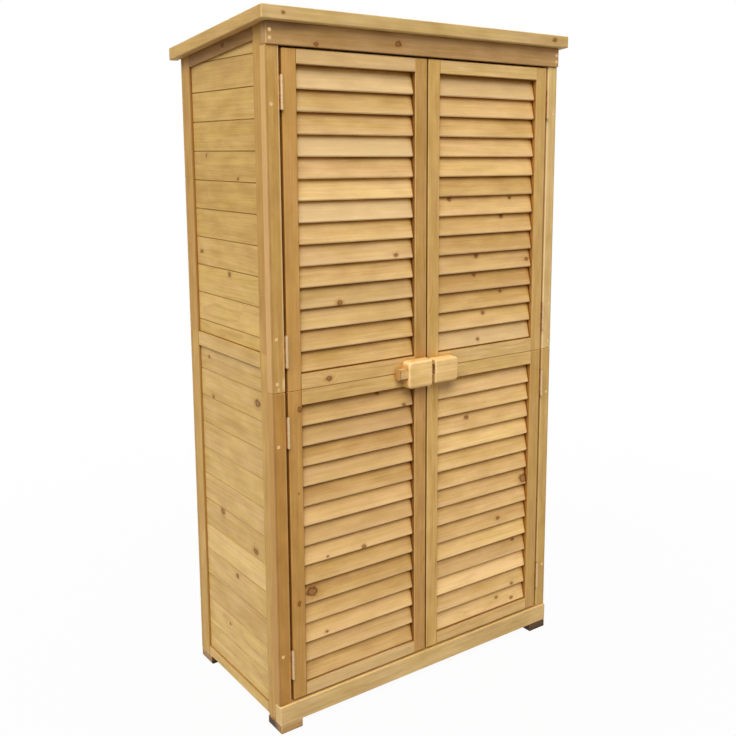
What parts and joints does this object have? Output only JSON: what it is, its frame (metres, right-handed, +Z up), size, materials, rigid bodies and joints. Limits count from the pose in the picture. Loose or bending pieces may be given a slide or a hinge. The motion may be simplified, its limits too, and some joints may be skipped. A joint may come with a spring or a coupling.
{
  "type": "garden storage cabinet",
  "caption": "Tall slatted-wood garden cabinet with a lean roof, louvred double doors, shelves, boarded sides and a sliding wooden latch.",
  "frame": {"origin": "on the ground, under the middle of the outline seen from above, doors shut", "axes": "+X to the right as seen from the front, +Y from the doors to the back, +Z up"},
  "size_m": [0.87, 0.471, 1.5998],
  "materials": {
    "frame_wood": "honey-stained softwood, satin",
    "slat_wood": "honey-stained softwood, satin",
    "board_wood": "honey-stained softwood, satin",
    "inside_wood": "honey-stained softwood, matt",
    "latch_wood": "pale stained softwood, satin",
    "hinge_steel": "bright zinc plate",
    "screw_steel": "bright zinc plate",
    "roofing_felt": "mineral-faced roofing sheet, matt"
  },
  "bodies": {
    "cabinet": {"roof_front_bar": "frame_wood", "roof_left_bar": "frame_wood", "roof_right_bar": "frame_wood", "roof_boards": "inside_wood", "roof_felt": "roofing_felt", "front_bottom_rail": "frame_wood", "front_lintel": "frame_wood", "left_post_lower": "frame_wood", "left_post_upper": "frame_wood", "right_post_lower": "frame_wood", "right_post_upper": "frame_wood", "left_upper_side_stiles": "frame_wood", "left_upper_side_rail": "frame_wood", "left_upper_side_boards": "board_wood", "left_lower_side_stiles": "frame_wood", "left_lower_side_rails": "frame_wood", "left_lower_side_boards": "board_wood", "right_upper_side_stiles": "frame_wood", "right_upper_side_rail": "frame_wood", "right_upper_side_boards": "board_wood", "right_lower_side_stiles": "frame_wood", "right_lower_side_rails": "frame_wood", "right_lower_side_boards": "board_wood", "back_lower_boards": "board_wood", "back_upper_boards": "board_wood", "back_rails": "inside_wood", "inside_battens": "inside_wood", "floor_boards": "inside_wood", "lower_shelf": "inside_wood", "upper_shelf": "inside_wood", "feet": "frame_wood", "frame_hinge_leaves": "hinge_steel", "frame_hinge_screws": "screw_steel", "hinge_pins": "hinge_steel", "frame_screws": "screw_steel"},
    "bolt": {"latch_bolt": "latch_wood"},
    "left_door": {"left_latch_block": "latch_wood", "left_door_hinge_leaves": "hinge_steel", "left_door_hinge_screws": "screw_steel", "left_door_dowels": "latch_wood", "left_door_lower_hinge_stile": "frame_wood", "left_door_lower_meeting_stile": "frame_wood", "left_door_lower_rails": "frame_wood", "left_door_lower_slats": "slat_wood", "left_door_upper_hinge_stile": "frame_wood", "left_door_upper_meeting_stile": "frame_wood", "left_door_upper_rails": "frame_wood", "left_door_upper_slats": "slat_wood"},
    "right_door": {"right_latch_block": "latch_wood", "right_door_hinge_leaves": "hinge_steel", "right_door_hinge_screws": "screw_steel", "right_door_dowels": "latch_wood", "right_door_lower_hinge_stile": "frame_wood", "right_door_lower_meeting_stile": "frame_wood", "right_door_lower_rails": "frame_wood", "right_door_lower_slats": "slat_wood", "right_door_upper_hinge_stile": "frame_wood", "right_door_upper_meeting_stile": "frame_wood", "right_door_upper_rails": "frame_wood", "right_door_upper_slats": "slat_wood"}
  },
  "joints": [
    {"name": "left_door_hinge", "type": "hinge", "parent": "cabinet", "child": "left_door", "pos_m": [-0.383, -0.2133, 0.795], "axis": [0, 0, -1], "range_deg": [0, 175]},
    {"name": "right_door_hinge", "type": "hinge", "parent": "cabinet", "child": "right_door", "pos_m": [0.383, -0.2133, 0.795], "axis": [0, 0, 1], "range_deg": [0, 175]},
    {"name": "latch_bolt_slide", "type": "slide", "parent": "left_door", "child": "bolt", "axis": [1, 0, 0], "range_m": [0, 0.022]}
  ]
}
